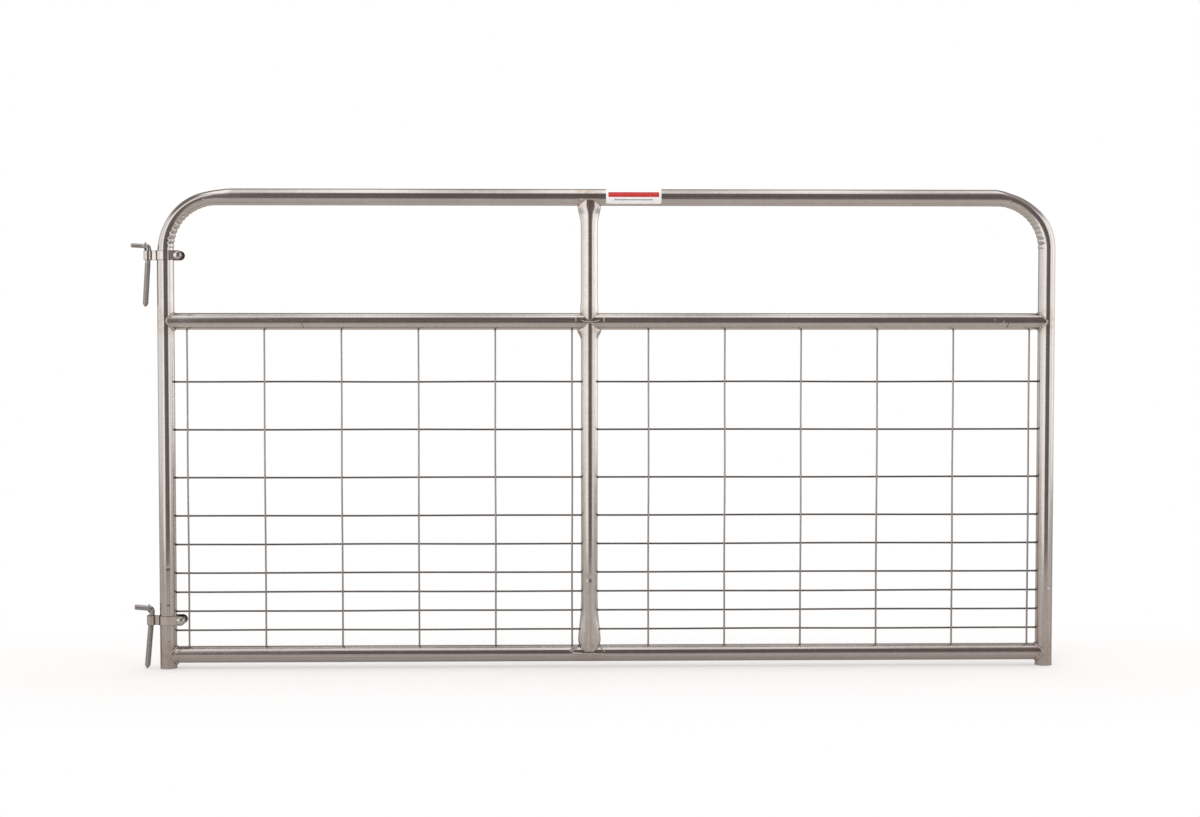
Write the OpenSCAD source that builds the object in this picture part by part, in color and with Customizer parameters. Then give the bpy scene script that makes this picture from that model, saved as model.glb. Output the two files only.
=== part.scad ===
// Wire-filled tubular field gate with two clamp-on strap hinges and loose screw hooks.
// Millimetres. X runs from the hinge post to the latch post, the front faces -Y, Z is up.
// The origin is the centre of the hinge post's foot, on the ground.

/* [Frame] */
// Height of the gate from the ground to the top of the top rail
gate_height = 1270; // [1180:1:1500]
// Distance between the axes of the hinge post and the latch post
post_spacing = 2336.8; // [1800:0.1:3000]
// Outside diameter of every tube in the frame
tube_od = 44.45; // [40:0.05:50]
// Wall thickness of the tubes
tube_wall = 1.6; // [1.2:0.1:3]
// Centre-line radius of the two top corners
bend_radius = 135; // [100:1:180]
// Distance from the axis of the top rail down to the axis of the mid rail
top_bay = 327.6; // [280:0.1:400]
// How far the posts stand out below the bottom rail
foot_projection = 13.8; // [5:0.1:60]
// Distance from the hinge post's axis to the axis of the centre stays
stay_offset = 1117.6; // [900:0.1:1400]

/* [Wire mesh] */
// Diameter of the mesh wires
wire_diameter = 4.9; // [3:0.1:7]
// Distance between the upright wires
upright_pitch = 203.2; // [100:0.1:300]
// Distance from the hinge post's axis to the first upright wire
hinge_wire_inset = 55.6; // [52:0.1:100]
// Distance from the latch post's axis to the last upright wire
latch_wire_inset = 46; // [35:0.1:100]
// Least free space between an upright wire and a centre stay
upright_clearance = 10; // [2:0.5:40]
// Height of the lowest line wire above the ground
lowest_line_wire = 100; // [90:0.1:112]
// Spacing of the lowest line wires
close_spacing = 50.8; // [45:0.1:60]
// Number of close spacings
close_count = 3; // [1:1:4]
// Spacing of the next line wires up
medium_spacing = 76.2; // [60:0.1:90]
// Number of medium spacings
medium_count = 2; // [1:1:3]
// Single spacing between the medium and the wide ones
step_spacing = 101.6; // [80:0.1:120]
// Spacing of the highest line wires
wide_spacing = 127; // [100:0.1:150]
// Number of wide spacings
wide_count = 2; // [1:1:3]
// Least free height between the highest line wire and the mid rail
line_wire_clearance = 60; // [10:1:120]

/* [Hinge straps] */
// Width of the strap
strap_width = 25.4; // [20:0.1:32]
// Thickness of the strap
strap_thickness = 2.5; // [2:0.1:4]
// Gap between a strap and the post that it is clamped round
strap_clearance = 0.1; // [0.05:0.05:0.5]
// Bore of the eye that holds the hook
eye_bore = 17.9; // [17.5:0.1:22]
// Length of the pinched neck between the post and the eye
neck_length = 9.2; // [6:0.1:25]
// Angle past the front of the post where a strap's ear leaves it
ear_angle = 31.6; // [25:0.1:40]
// Gap between the upper strap and the start of the top bend
strap_below_bend = 6.3; // [2:0.1:60]
// Height of the lower strap's middle above the lowest line wire
strap_above_wire = 28; // [16:0.1:32]

/* [Strap bolts] */
// Diameter of the carriage bolts
bolt_diameter = 9.525; // [7.9:0.005:11.2]
// Free space between the post and the bolt
bolt_gap = 8; // [3:0.1:12]
// Diameter of the domed bolt head
bolt_head_diameter = 21; // [18:0.1:24]
// Height of the domed bolt head
bolt_head_height = 5.5; // [4:0.1:7]
// Clearance of the bolt in the ears and in its nut
bolt_clearance = 0.2; // [0.1:0.05:0.5]
// Width of the nut across its flats
nut_flats = 14.3; // [13.5:0.1:19]
// Thickness of the nut
nut_thickness = 8.3; // [6:0.1:10]
// Length of bolt that stands out of the nut
bolt_end = 5; // [1:0.1:15]

/* [Screw hooks] */
// Diameter of the hook's round bar
hook_bar = 14.3; // [12:0.1:14.5]
// Distance from the axis of the hook's arm to the tip of its shank
hook_length = 159; // [140:0.5:220]
// Distance from the shank's axis to the end of the arm
arm_reach = 46.5; // [30:0.1:80]
// Length of the threaded part of the shank, with the point
thread_length = 116; // [60:1:118]
// Outside diameter of the thread
thread_crest = 15.4; // [14.6:0.1:15.6]
// Depth of the thread
thread_depth = 1.1; // [0.5:0.1:1.5]
// Distance between the turns of the thread
thread_pitch = 4; // [3:0.1:6]
// Length of the shank's point
point_length = 8; // [5:0.1:14]
// Diameter of the blunt end of the point
tip_diameter = 4; // [2:0.1:8]
// Inside radius of the bend between the shank and the arm
hook_inner_radius = 0.5; // [0.3:0.1:8]
// Distance from the arm's axis to the tip of its pinched ears
ear_reach = 11; // [9.5:0.1:14]
// Half width of the pinched ears
ear_half_width = 7.5; // [7.3:0.1:9]
// Thickness of the pinched ears along the arm
ear_thickness = 4.5; // [3:0.1:6]
// How far the pinched ears reach back over the bend
ear_overlap = 1; // [0:0.1:3]
// Lean of the upper hook in its eye, in degrees
upper_lean = 3.6; // [0:0.1:4]
// Lean of the lower hook in its eye, in degrees
lower_lean = 5.2; // [0:0.1:5.4]
// Free space round a hook where it rests on its eye or stands on the ground
hook_clearance = 0.3; // [0.1:0.05:0.5]

/* [Label] */
// Distance from the centre stay's axis to the near end of the label
label_offset = 44; // [35:1:200]
// Length of the label along the top rail
label_length = 146; // [60:1:250]
// Height of the label round the rail
label_height = 51; // [30:1:60]
// Angle of the label's lower edge below the front of the rail
label_lower_angle = 51; // [20:1:70]
// Thickness of the label
label_thickness = 0.3; // [0.1:0.05:0.6]
// Gap between the label and the rail
label_gap = 0.02; // [0.01:0.01:0.1]

/* [Hidden] */
$fn = 64;
tube_radius = tube_od / 2;
bore_radius = tube_radius - tube_wall;
wire_radius = wire_diameter / 2;
overcut = 1;

top_rail_z = gate_height - tube_radius;
bend_start_z = top_rail_z - bend_radius;
mid_rail_z = top_rail_z - top_bay;
bottom_rail_z = foot_projection + tube_radius;

// Heights of the line wires, from the lowest up to the last that clears the mid rail
line_gaps = concat(
  [0],
  [for (i = [1:close_count]) close_spacing],
  [for (i = [1:medium_count]) medium_spacing],
  [step_spacing],
  [for (i = [1:wide_count]) wide_spacing]
);
function sum_to(list, last, i = 0) = i > last ? 0 : list[i] + sum_to(list, last, i + 1);
line_heights = [for (i = [0:len(line_gaps) - 1]) lowest_line_wire + sum_to(line_gaps, i)];
highest_line_z = mid_rail_z - tube_radius - line_wire_clearance;
line_wire_z = [for (z = line_heights) if (z <= highest_line_z) z];

// Places of the upright wires, counted from the nearest post towards the centre stays
upright_margin = tube_radius + wire_radius + upright_clearance;
hinge_uprights = floor((stay_offset - upright_margin - hinge_wire_inset) / upright_pitch) + 1;
latch_run = post_spacing - latch_wire_inset - stay_offset - upright_margin;
latch_uprights = floor(latch_run / upright_pitch) + 1;
hinge_upright_x = [for (i = [0:hinge_uprights - 1]) hinge_wire_inset + i * upright_pitch];
latch_upright_x = [
  for (i = [latch_uprights - 1:-1:0]) post_spacing - latch_wire_inset - i * upright_pitch
];

band_bore = tube_radius + strap_clearance;
band_radius = band_bore + strap_thickness;
eye_radius = eye_bore / 2 + strap_thickness;
eye_x = -(band_radius + neck_length + eye_radius);
ear_start = band_radius * sin(ear_angle);
ear_front = band_radius * cos(ear_angle);
bolt_x = tube_radius + bolt_gap + bolt_diameter / 2;
upper_strap_z = bend_start_z - strap_below_bend - strap_width / 2;
lower_strap_z = lowest_line_wire + strap_above_wire;

// A hook leans against the gate side of its eye's upper rim
hook_bend = hook_bar / 2 + hook_inner_radius;
ear_inner = hook_bend - ear_overlap;
lean_offset = eye_bore / 2 - hook_bar / 2 - hook_clearance;
// Height of the arm's axis above the eye, along the shank, when the hook hangs or stands
function hanging(lean) = ear_reach + (hook_clearance - ear_inner * sin(lean)) / cos(lean);
function standing(lean, eye_top) = hook_length + (hook_clearance - eye_top) / cos(lean);
function arm_lift(lean, eye_top) = max(hanging(lean), standing(lean, eye_top));

head_sphere = (pow(bolt_head_diameter / 2, 2) + pow(bolt_head_height, 2)) / (2 * bolt_head_height);
bolt_reach = 2 * ear_front + nut_thickness + bolt_end;
pinch_radius = (pow(ear_half_width, 2) + pow(ear_reach, 2)) / (2 * ear_half_width);
label_radius = tube_radius + label_gap;
label_wrap = label_height / label_radius * 180 / PI;

steel = [0.66, 0.64, 0.62];
wire_grey = [0.5, 0.48, 0.47];
hook_grey = [0.55, 0.53, 0.51];

// Solid bar along the path of the bent outer tube
module bent_bar(radius, past_end) {
  for (x = [0, post_spacing]) {
    translate([x, 0, -past_end])
      cylinder(h = bend_start_z + past_end, r = radius);
  }
  translate([bend_radius, 0, top_rail_z])
    rotate([0, 90, 0])
      cylinder(h = post_spacing - 2 * bend_radius, r = radius);
  translate([bend_radius, 0, bend_start_z])
    rotate([90, 0, 0])
      rotate([0, 0, 90])
        rotate_extrude(angle = 90)
          translate([bend_radius, 0])
            circle(r = radius);
  translate([post_spacing - bend_radius, 0, bend_start_z])
    rotate([90, 0, 0])
      rotate_extrude(angle = 90)
        translate([bend_radius, 0])
          circle(r = radius);
}

// Hinge post, top rail and latch post, bent from one length of tube with open feet
module outer_frame_tube() {
  color(steel)
    difference() {
      bent_bar(tube_radius, 0);
      bent_bar(bore_radius, overcut);
    }
}

// Level tube between the posts, its ends cut to saddle round them
module rail(z) {
  difference() {
    translate([0, 0, z])
      rotate([0, 90, 0])
        cylinder(h = post_spacing, r = tube_radius);
    translate([-overcut, 0, z])
      rotate([0, 90, 0])
        cylinder(h = post_spacing + 2 * overcut, r = bore_radius);
    for (x = [0, post_spacing]) {
      translate([x, 0, z - tube_od])
        cylinder(h = 2 * tube_od, r = tube_radius);
    }
    // what is left of the round bar inside and beyond the posts
    for (x = [-tube_od, post_spacing]) {
      translate([x, -tube_od, z - tube_od])
        cube([tube_od, 2 * tube_od, 2 * tube_od]);
    }
  }
}

module mid_rail() {
  color(steel)
    rail(mid_rail_z);
}

module bottom_rail() {
  color(steel)
    rail(bottom_rail_z);
}

// Upright tube between two rails, its ends cut to saddle on them
module stay(low_z, high_z) {
  difference() {
    translate([stay_offset, 0, low_z])
      cylinder(h = high_z - low_z, r = tube_radius);
    translate([stay_offset, 0, low_z - overcut])
      cylinder(h = high_z - low_z + 2 * overcut, r = bore_radius);
    for (z = [low_z, high_z]) {
      translate([stay_offset - tube_od, 0, z])
        rotate([0, 90, 0])
          cylinder(h = 2 * tube_od, r = tube_radius);
    }
  }
}

module upper_stay() {
  color(steel)
    stay(mid_rail_z, top_rail_z);
}

module lower_stay() {
  color(steel)
    stay(bottom_rail_z, mid_rail_z);
}

// Level wire behind the uprights, welded to the tube at each end
module line_wire(from_x, to_x, z) {
  color(wire_grey)
    translate([from_x, wire_radius, z])
      rotate([0, 90, 0])
        cylinder(h = to_x - from_x, r = wire_radius);
}

module hinge_line_wire(i) {
  line_wire(tube_radius, stay_offset - tube_radius, line_wire_z[i]);
}

module latch_line_wire(i) {
  line_wire(stay_offset + tube_radius, post_spacing - tube_radius, line_wire_z[i]);
}

// Upright wire in front of the line wires, welded to the mid and bottom rails
module upright_wire(x) {
  color(wire_grey)
    translate([x, -wire_radius, bottom_rail_z + tube_radius])
      cylinder(h = mid_rail_z - bottom_rail_z - tube_od, r = wire_radius);
}

// Flat ear of a strap, rounded about the bolt, with its outer face at y = 0
module strap_ear() {
  rotate([90, 0, 0])
    translate([0, 0, -strap_thickness])
      linear_extrude(strap_thickness)
        union() {
          translate([ear_start, -strap_width / 2])
            square([bolt_x - ear_start, strap_width]);
          translate([bolt_x, 0])
            circle(d = strap_width);
        }
}

// Strap folded round the post, pinched into a neck and rolled into an eye
module strap_band() {
  translate([0, 0, -strap_width / 2])
    linear_extrude(strap_width)
      difference() {
        union() {
          circle(r = band_radius);
          translate([eye_x, 0])
            circle(r = eye_radius);
          translate([eye_x, -strap_thickness])
            square([-eye_x, 2 * strap_thickness]);
        }
        circle(r = band_bore);
        translate([eye_x, 0])
          circle(d = eye_bore);
        translate([ear_start, -tube_od])
          square([tube_od, 2 * tube_od]);
      }
}

module strap(z) {
  neck_side = bolt_diameter + 2 * bolt_clearance;
  color(steel)
    translate([0, 0, z])
      difference() {
        union() {
          strap_band();
          translate([0, -ear_front, 0])
            strap_ear();
          translate([0, ear_front - strap_thickness, 0])
            strap_ear();
        }
        // square hole for the bolt's neck in front, round hole behind
        translate([bolt_x - neck_side / 2, -ear_front - overcut, -neck_side / 2])
          cube([neck_side, strap_thickness + 2 * overcut, neck_side]);
        translate([bolt_x, 0, 0])
          rotate([-90, 0, 0])
            cylinder(h = ear_front + overcut, r = bolt_diameter / 2 + bolt_clearance);
      }
}

module upper_strap() {
  strap(upper_strap_z);
}

module lower_strap() {
  strap(lower_strap_z);
}

// Carriage bolt from front to back, domed head on the front ear
module bolt(z) {
  color(steel)
    translate([bolt_x, -ear_front, z])
      rotate([-90, 0, 0])
        union() {
          intersection() {
            translate([0, 0, head_sphere - bolt_head_height])
              sphere(r = head_sphere);
            translate([0, 0, -bolt_head_height - overcut])
              cylinder(h = bolt_head_height + overcut, d = bolt_head_diameter + overcut);
          }
          translate([-bolt_diameter / 2, -bolt_diameter / 2, 0])
            cube([bolt_diameter, bolt_diameter, strap_thickness]);
          cylinder(h = bolt_reach, d = bolt_diameter);
        }
}

module upper_bolt() {
  bolt(upper_strap_z);
}

module lower_bolt() {
  bolt(lower_strap_z);
}

// Hexagon nut against the back ear
module nut(z) {
  color(steel)
    translate([bolt_x, ear_front, z])
      rotate([-90, 0, 0])
        difference() {
          cylinder(h = nut_thickness, d = nut_flats / cos(30), $fn = 6);
          translate([0, 0, -overcut])
            cylinder(h = nut_thickness + 2 * overcut, r = bolt_diameter / 2 + bolt_clearance);
        }
}

module upper_nut() {
  nut(upper_strap_z);
}

module lower_nut() {
  nut(lower_strap_z);
}

// Half outline of the shank: plain bar, turns of thread, then the point
module shank_outline() {
  crest = thread_crest / 2;
  root = crest - thread_depth;
  turns = floor((thread_length - point_length) / thread_pitch);
  thread_top = thread_length - hook_length;
  // each turn has four equal quarters: rising flank, crest, falling flank and root
  ridges = [
    for (i = [0:turns - 1], quarter = [1:4])
      [quarter < 3 ? crest : root, thread_top - (i + quarter / 4) * thread_pitch]
  ];
  polygon(concat(
    [[0, -hook_bend], [hook_bar / 2, -hook_bend], [hook_bar / 2, thread_top], [root, thread_top]],
    ridges,
    [[tip_diameter / 2, -hook_length], [0, -hook_length]]
  ));
}

// Screw hook with the arm along -X at z = 0 and the shank hanging down the Z axis
module hook() {
  union() {
    rotate_extrude()
      shank_outline();
    translate([-hook_bend, 0, -hook_bend])
      rotate([90, 0, 0])
        rotate_extrude(angle = 90)
          translate([hook_bend, 0])
            circle(d = hook_bar);
    translate([-hook_bend, 0, 0])
      rotate([0, -90, 0])
        cylinder(h = arm_reach - hook_bend, d = hook_bar);
    // pinched ears above and below the arm
    translate([-ear_inner, 0, 0])
      rotate([0, -90, 0])
        linear_extrude(ear_thickness)
          intersection_for (side = [-1, 1]) {
            translate([0, side * (pinch_radius - ear_half_width)])
              circle(r = pinch_radius);
          }
  }
}

module leaning_hook(strap_z, lean) {
  eye_top = strap_z + strap_width / 2;
  color(hook_grey)
    translate([eye_x + lean_offset, 0, eye_top])
      rotate([0, lean, 0])
        translate([0, 0, arm_lift(lean, eye_top)])
          hook();
}

module upper_hook() {
  leaning_hook(upper_strap_z, upper_lean);
}

module lower_hook() {
  leaning_hook(lower_strap_z, lower_lean);
}

// Plain sticker wrapped over the front and top of the top rail
module label() {
  color("white")
    translate([stay_offset + label_offset, 0, top_rail_z])
      rotate([0, 90, 0])
        rotate([0, 0, label_lower_angle - 90 - label_wrap])
          rotate_extrude(angle = label_wrap)
            translate([label_radius, 0])
              square([label_thickness, label_length]);
}

outer_frame_tube();
mid_rail();
bottom_rail();
upper_stay();
lower_stay();
for (i = [0:len(line_wire_z) - 1]) {
  hinge_line_wire(i);
  latch_line_wire(i);
}
for (i = [0:hinge_uprights - 1]) {
  upright_wire(hinge_upright_x[i]);
}
for (i = [0:latch_uprights - 1]) {
  upright_wire(latch_upright_x[i]);
}
upper_strap();
lower_strap();
upper_bolt();
lower_bolt();
upper_nut();
lower_nut();
upper_hook();
lower_hook();
label();
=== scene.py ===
import functools
import math
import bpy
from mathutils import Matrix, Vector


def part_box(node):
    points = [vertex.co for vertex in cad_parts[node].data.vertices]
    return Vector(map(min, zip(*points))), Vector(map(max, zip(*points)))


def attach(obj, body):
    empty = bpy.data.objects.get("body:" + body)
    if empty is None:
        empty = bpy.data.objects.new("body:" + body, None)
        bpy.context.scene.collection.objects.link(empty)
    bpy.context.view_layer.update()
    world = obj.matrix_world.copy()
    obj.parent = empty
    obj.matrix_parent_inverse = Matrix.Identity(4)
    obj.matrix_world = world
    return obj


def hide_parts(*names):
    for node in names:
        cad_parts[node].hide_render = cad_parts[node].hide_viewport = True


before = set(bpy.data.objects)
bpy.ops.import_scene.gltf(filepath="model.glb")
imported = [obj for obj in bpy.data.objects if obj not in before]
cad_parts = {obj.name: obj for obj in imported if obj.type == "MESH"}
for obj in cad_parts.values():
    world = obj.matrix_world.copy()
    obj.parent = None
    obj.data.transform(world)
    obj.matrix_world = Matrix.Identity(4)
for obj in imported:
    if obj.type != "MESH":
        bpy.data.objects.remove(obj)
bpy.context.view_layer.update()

from types import SimpleNamespace
import bpy
import bmesh
import numpy as np
from mathutils import Vector

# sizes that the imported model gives, in metres
frameLow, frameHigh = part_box("outer_frame_tube")
tubeRadius = -frameLow.x
postSpacing = frameHigh.x - tubeRadius
topRailZ = frameHigh.z - tubeRadius
centreOf = {node: sum(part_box(node), start=Vector()) / 2 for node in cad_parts}
midRailZ = centreOf["mid_rail"].z
bottomRailZ = centreOf["bottom_rail"].z
stayX = centreOf["upper_stay"].x
print("frame loaded:", len(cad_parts), "nodes, gate", round(frameHigh.z, 3), "m high")


# meshes

# points closer than mergeDistance are merged, and phases of waves are drawn from 0 to about one turn
millimetre = 0.001
mergeDistance = 1e-6
phaseSpan = 6.3
# direction from the camera's side through the gate, as one row
back = np.array([[0.0, 1.0, 0.0]])


def smoothStep(value):
    # 3t^2 - 2t^3 on a value held between 0 and 1
    held = np.clip(value, 0, 1)
    return held * held * (3 - 2 * held)


def eased(count):
    # shares from 0 to 1 that lie closer together towards both ends
    return 0.5 - 0.5 * np.cos(np.linspace(0, np.pi, count))


def joined(*parts, axis=0):
    return np.concatenate(parts, axis)


def spots(*coordinates):
    # points from coordinates, each spread over the rows and columns of the others
    return np.stack(np.broadcast_arrays(*coordinates), -1)


def grid(points, closedRows=False):
    # faces and corner UVs between neighbouring points; the last column joins the first, and closed rows too
    rows, columns = points.shape[:2]
    row, column = np.meshgrid(
        np.arange(rows if closedRows else rows - 1), np.arange(columns), indexing="ij")
    rowCorner = np.stack([row, row + 1, row + 1, row], -1).reshape(-1, 4)
    columnCorner = np.stack([column, column, column + 1, column + 1], -1).reshape(-1, 4)
    faces = (rowCorner % rows) * columns + columnCorner % columns
    steps = np.linalg.norm(np.diff(points.mean(1), axis=0), axis=1)
    length = joined([0], np.cumsum(steps), [steps.sum()])
    flat = points.reshape(-1, 3)
    corner = flat[faces] - flat.mean(0)
    volume = (corner[:, 0] * np.cross(corner[:, 1], corner[:, 2])).sum()
    volume += (corner[:, 0] * np.cross(corner[:, 2], corner[:, 3])).sum()
    uv = np.stack([length[rowCorner], columnCorner / columns], -1)
    if volume < 0:
        faces, uv = faces[:, ::-1], uv[:, ::-1]
    return flat, faces, uv.reshape(-1, 2)


def addObject(name, data):
    made = bpy.data.objects.new(name, data)
    bpy.context.scene.collection.objects.link(made)
    return made


def addPiece(name, grids, finish, nodes=(), sharp=40, body="gate"):
    # joins the grids into one object, merges poles and seams, then hangs it on its body
    flats, faces, uvs = zip(*grids)
    counts = np.cumsum([0] + [len(flat) for flat in flats])
    mesh = bpy.data.meshes.new(name)
    mesh.from_pydata(joined(*flats), [], joined(*[face + count for face, count in zip(faces, counts)]))
    layer = mesh.uv_layers.new(name="along")
    layer.uv.foreach_set("vector", joined(*uvs).ravel())
    work = bmesh.new()
    work.from_mesh(mesh)
    bmesh.ops.remove_doubles(work, verts=work.verts, dist=mergeDistance)
    work.to_mesh(mesh)
    work.free()
    mesh.shade_smooth()
    mesh.set_sharp_from_angle(angle=math.radians(sharp))
    mesh.materials.append(finish)
    piece = addObject(name, mesh)
    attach(piece, body)
    if nodes:
        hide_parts(*nodes)


def ring(sides):
    # cosine and sine round a section, one column a side
    turn = np.linspace(0, 2 * np.pi, sides, endpoint=False)
    return np.cos(turn), np.sin(turn)


def carry(path, first, second, radius, sides):
    # round section carried along a path: centre + radius (first cos + second sin);
    # the radius may vary by row and column
    cosine, sine = ring(sides)
    spoke = first[:, None] * cosine[:, None] + second[:, None] * sine[:, None]
    return path[:, None] + np.broadcast_to(radius, (len(path), sides))[..., None] * spoke


def unit(rows):
    return rows / np.linalg.norm(rows, axis=1, keepdims=True)


def pathFrame(path, aside):
    # two directions square to a path, the first one nearest to aside
    along = unit(np.gradient(path, axis=0))
    first = unit(aside - along * (aside * along).sum(1, keepdims=True))
    return first, np.cross(along, first)


# finishes

def bothSides(operation):
    # methods of an arithmetic sign: with the shade on its left, and with the shade on its right
    return (lambda self, other: self.maths(operation, self, other),
            lambda self, other: self.maths(operation, other, self))


class Shade:
    # one socket of a node tree; arithmetic between shades and numbers adds Math nodes
    def __init__(self, tree, out=None):
        self.tree, self.out = tree, out

    def node(self, kind, inputs={}, output=0, **settings):
        made = self.tree.nodes.new("ShaderNode" + kind)
        for key, value in settings.items():
            if key == "stops":
                ramp = made.color_ramp.elements
                for spare in range(len(value) - 2):
                    ramp.new(0.5)
                for element, (place, colour) in zip(ramp, value):
                    element.position, element.color = place, colour
            else:
                setattr(made, key, value)
        for key, value in inputs.items():
            if isinstance(value, Shade):
                self.tree.links.new(value.out, made.inputs[key])
            else:
                made.inputs[key].default_value = value
        return Shade(self.tree, made.outputs[output] if made.outputs else None)

    def maths(self, operation, *values):
        return self.node("Math", dict(enumerate(values)), operation=operation)

    __add__, __radd__ = bothSides("ADD")
    __sub__, __rsub__ = bothSides("SUBTRACT")
    __mul__, __rmul__ = bothSides("MULTIPLY")
    __truediv__, __rtruediv__ = bothSides("DIVIDE")

    def axis(self, number):
        return self.node("SeparateXYZ", {0: self}, number)

    def step(self, low, high):
        # smooth step from 0 at low to 1 at high
        ends = {"Value": self, "From Min": low, "From Max": high}
        return self.node("MapRange", ends, interpolation_type="SMOOTHSTEP")

    def around(self, middle, soft):
        # smooth step centred on middle
        return self.step(middle - soft, middle + soft)

    def mix(self, low, high):
        # colour low where this shade is 0, colour high where it is 1
        return self.node("Mix", {0: self, 6: low, 7: high}, 2, data_type="RGBA")

    def towards(self, target, share):
        # this shade where share is 0, target where it is 1
        return self + (target - self) * share


def newTree(store, name):
    # new material or world with an empty node tree
    made = store.new(name)
    made.use_nodes = True
    made.node_tree.nodes.clear()
    return made, Shade(made.node_tree)


def rgb(*colour):
    return (*colour, 1.0)


white = rgb(1, 1, 1)
noiseRoughness = 0.55


def noise(shade, vector, scale, detail):
    return shade.node("TexNoise", {
        "Vector": vector, "Scale": scale, "Detail": detail, "Roughness": noiseRoughness})


def least(shade, values):
    return functools.reduce(functools.partial(shade.maths, "MINIMUM"), values)


def metalFinish(settings):
    # zinc-coated steel: drawing streaks run along the UV length, mottling lies on Object coordinates,
    # splashed grime thickens towards the ground, and welding heat has browned the tube round its joints
    look = SimpleNamespace(**settings)
    material, shade = newTree(bpy.data.materials, look.name)
    place = shade.node("TexCoord", output=3)
    height = place.axis(2)
    uv = shade.node("UVMap", uv_map="along")
    length = uv.axis(0)
    angle = uv.axis(1) * (2 * math.pi)
    wrapped = shade.node("CombineXYZ", {
        "X": shade.maths("COSINE", angle) * look.streakCount,
        "Y": shade.maths("SINE", angle) * look.streakCount,
        "Z": length * look.streakStretch})
    streak = noise(shade, wrapped, scale=1.0, detail=2.0)
    mottle = noise(shade, place, look.mottleScale, detail=3.0)
    cloud = noise(shade, place, look.cloudScale, detail=2.0)
    speck = noise(shade, place, look.speckScale, detail=1.0).step(*look.speckEdge)
    splash = look.splash + cloud * look.splashVary
    grime = (1 - height.step(*look.grimeReach)) * splash * look.grime
    tone = mottle * look.mottleShare + streak * look.streakShare + cloud * look.cloudShare
    colour = tone.step(*look.toneEdge).mix(look.dark, look.light)
    colour = (speck * look.speckShare).mix(colour, look.speckColour)
    colour = grime.mix(colour, look.grimeColour)
    fromSpots = [shade.node("VectorMath", {0: place, 1: spot}, 1, operation="DISTANCE")
                 for spot in look.heatSpots]
    heat = 1 - least(shade, fromSpots).step(*look.heatReach)
    heat = heat * mottle.step(*look.heatEdge) * look.heat
    colour = heat.mix(colour, look.heatColour)
    # darker upper and lower edges of the straps: partly cut steel, partly painted shade where the strip's
    # edges meet the post
    if look.cutEdges:
        fromMiddle = [shade.maths("ABSOLUTE", height - middle) for middle in look.cutEdges]
        colour = least(shade, fromMiddle).step(*look.cutReach).mix(colour, look.cutColour)
    rough = look.rough + (mottle + cloud - 1) * look.roughVary + grime * look.grimeRough
    relief = streak * look.streakHeight + mottle * look.mottleHeight + speck * look.speckHeight
    bump = shade.node("Bump", {"Strength": 1.0, "Distance": millimetre, "Height": relief})
    surface = shade.node("BsdfPrincipled", {
        "Base Color": colour, "Metallic": 1.0, "Roughness": rough,
        "Specular Tint": look.edge, "Normal": bump})
    shade.node("OutputMaterial", {"Surface": surface})
    return material


tubeLook = dict(
    name="drawnTubeZinc",
    dark=rgb(0.335, 0.306, 0.286), light=rgb(0.43, 0.400, 0.380), edge=rgb(0.62, 0.58, 0.56),
    # tone: shares of the three noises, and the sum at which dark turns to light
    mottleShare=0.18, streakShare=0.67, cloudShare=0.15, toneEdge=(0.36, 0.64),
    streakCount=6.0, streakStretch=0.35, mottleScale=55.0, cloudScale=5.0,
    speckScale=260.0, speckEdge=(0.68, 0.76), speckShare=0.25, speckColour=rgb(0.54, 0.50, 0.46),
    # heat: brown round each weld, out to heatReach from the joint's middle
    heat=0.55, heatColour=rgb(0.27, 0.205, 0.15), heatReach=(0.026, 0.052), heatEdge=(0.35, 0.62),
    heatSpots=[(stayX, 0, topRailZ)] + [
        (x, 0, z) for x in (0, stayX, postSpacing) for z in (midRailZ, bottomRailZ)],
    grime=0.28, grimeColour=rgb(0.25, 0.215, 0.195), grimeReach=(0.02, 0.42), grimeRough=0.12,
    splash=0.45, splashVary=1.1, rough=0.14, roughVary=0.06,
    # relief, in millimetres
    streakHeight=0.3, mottleHeight=0.012, speckHeight=0.004,
    # middle heights of pieces whose upper and lower edges are darkened: partly cut steel, partly painted
    # shade along the edges
    cutEdges=[],
)
stayLook = dict(
    tubeLook, name="stayTubeZinc", dark=rgb(0.34, 0.312, 0.293), light=rgb(0.48, 0.45, 0.43),
    grime=0.05, streakCount=8.0)
# line wires: near-black colour that is painted shade on the wire, where zinc wire would be a mid grey
lineWireShadedLook = dict(
    tubeLook, name="shadedMeshWireZinc", dark=rgb(0.098, 0.081, 0.076), light=rgb(0.148, 0.127, 0.118),
    edge=rgb(0.5, 0.47, 0.45), speckShare=0.0, rough=0.36, roughVary=0.1, streakCount=1.0, streakStretch=3.0,
    mottleScale=30.0, streakHeight=0.04, mottleHeight=0.01, grime=0.3)
# upright wires: the same wire with lighter colours, so line and upright wires are lit and painted-shade
# copies of one wire
uprightLook = dict(
    lineWireShadedLook, name="uprightWireZinc", dark=rgb(0.25, 0.228, 0.215), light=rgb(0.35, 0.322, 0.306), grime=0.8)
strapLook = dict(
    tubeLook, name="strapZinc", dark=rgb(0.31, 0.275, 0.255), light=rgb(0.42, 0.385, 0.36),
    rough=0.16, roughVary=0.06, streakCount=1.5, streakStretch=12.0, mottleScale=70.0,
    streakHeight=0.04, mottleHeight=0.006,
    # dark edge lines: partly cut steel, partly painted shade along the strip's edges
    cutEdges=[centreOf[end + "_strap"].z for end in ("upper", "lower")],
    cutReach=(0.0108, 0.0122), cutColour=rgb(0.155, 0.135, 0.125))
boltLook = dict(
    tubeLook, name="boltZinc", dark=rgb(0.36, 0.345, 0.335), light=rgb(0.48, 0.46, 0.44),
    rough=0.2, roughVary=0.08, mottleScale=300.0, speckScale=700.0, streakCount=2.0,
    streakHeight=0.03, mottleHeight=0.02)
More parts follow.
